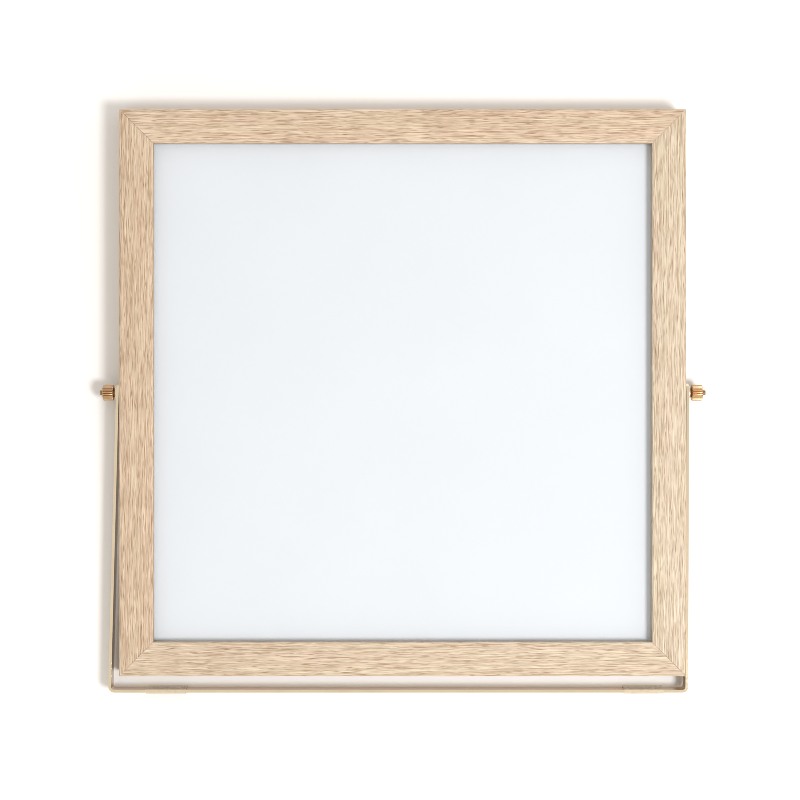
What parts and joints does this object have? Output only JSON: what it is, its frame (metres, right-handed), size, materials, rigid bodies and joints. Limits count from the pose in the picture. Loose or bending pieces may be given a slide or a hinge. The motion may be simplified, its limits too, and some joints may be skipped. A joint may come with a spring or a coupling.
{
  "type": "easel picture frame",
  "caption": "Square wooden floating picture frame with glass panes, held by a U-shaped brass bar stand that pivots on thumb nuts at its sides.",
  "frame": {"origin": "on the floor plane of the frame's back, at the centre of the whole object's outline, with the frame lying on its back and the stand folded", "axes": "+Z out of the picture, from the back of the frame to its front; +Y towards the top of the frame; +X to the right, along the stand's pivot axis"},
  "size_m": [0.3286, 0.316, 0.02],
  "materials": {
    "oak": "pale oak, matt lacquer, fine open grain along each member",
    "pine": "plain planed softwood",
    "glass": "clear, polished",
    "card": "smooth white card",
    "bar_brass": "satin, brushed along the bar",
    "turned_brass": "satin, turned and knurled",
    "steel": "plain",
    "dark_fibre": "matt",
    "clear_vinyl": "soft and translucent"
  },
  "bodies": {
    "frame": {"rail_top": "oak", "rail_bottom": "oak", "stile_left": "oak", "stile_right": "oak", "front_glass": "glass", "insert_card": "card", "rear_glass": "glass", "liner_top": "pine", "liner_bottom": "pine", "liner_left": "pine", "liner_right": "pine", "v_nail_top_left": "steel", "v_nail_top_right": "steel", "v_nail_bottom_left": "steel", "v_nail_bottom_right": "steel", "button_screw_top_left": "turned_brass", "button_screw_top_right": "turned_brass", "button_screw_bottom_left": "turned_brass", "button_screw_bottom_right": "turned_brass", "insert_bush_left": "turned_brass", "insert_bush_right": "turned_brass", "stud_left": "turned_brass", "stud_right": "turned_brass", "spacer_left": "dark_fibre", "spacer_right": "dark_fibre"},
    "stand": {"stand_bar": "bar_brass", "sleeve_left": "clear_vinyl", "sleeve_right": "clear_vinyl"},
    "left_washer": {"washer_left": "turned_brass"},
    "right_washer": {"washer_right": "turned_brass"},
    "left_nut": {"thumb_nut_left": "turned_brass"},
    "right_nut": {"thumb_nut_right": "turned_brass"},
    "button_top_left": {"turn_button_top_left": "turned_brass"},
    "button_top_right": {"turn_button_top_right": "turned_brass"},
    "button_bottom_left": {"turn_button_bottom_left": "turned_brass"},
    "button_bottom_right": {"turn_button_bottom_right": "turned_brass"}
  },
  "joints": [
    {"name": "stand_swing", "type": "hinge", "parent": "frame", "child": "stand", "pos_m": [0, 0.00547, 0.01], "axis": [-1, 0, 0], "continuous": true},
    {"name": "left_nut_travel", "type": "slide", "parent": "frame", "child": "left_washer", "axis": [-1, 0, 0], "range_m": [0, 0.00075]},
    {"name": "left_nut_spin", "type": "hinge", "parent": "left_washer", "child": "left_nut", "pos_m": [-0.16, 0.00547, 0.01], "axis": [-1, 0, 0], "range_deg": [0, 542]},
    {"name": "right_nut_travel", "type": "slide", "parent": "frame", "child": "right_washer", "axis": [1, 0, 0], "range_m": [0, 0.00075]},
    {"name": "right_nut_spin", "type": "hinge", "parent": "right_washer", "child": "right_nut", "pos_m": [0.16, 0.00547, 0.01], "axis": [1, 0, 0], "range_deg": [0, 542]},
    {"name": "top_left_button_turn", "type": "hinge", "parent": "frame", "child": "button_top_left", "pos_m": [-0.08, 0.15127, 0.0019], "axis": [0, 0, -1], "range_deg": [0, 90]},
    {"name": "top_right_button_turn", "type": "hinge", "parent": "frame", "child": "button_top_right", "pos_m": [0.08, 0.15127, 0.0019], "axis": [0, 0, -1], "range_deg": [0, 90]},
    {"name": "bottom_left_button_turn", "type": "hinge", "parent": "frame", "child": "button_bottom_left", "pos_m": [-0.08, -0.14033, 0.0019], "axis": [0, 0, -1], "range_deg": [0, 90]},
    {"name": "bottom_right_button_turn", "type": "hinge", "parent": "frame", "child": "button_bottom_right", "pos_m": [0.08, -0.14033, 0.0019], "axis": [0, 0, -1], "range_deg": [0, 90]}
  ],
  "couplings": [
    {"joint": "left_nut_spin", "follows": "left_nut_travel", "rad_per_m": 12566},
    {"joint": "right_nut_spin", "follows": "right_nut_travel", "rad_per_m": 12566}
  ]
}
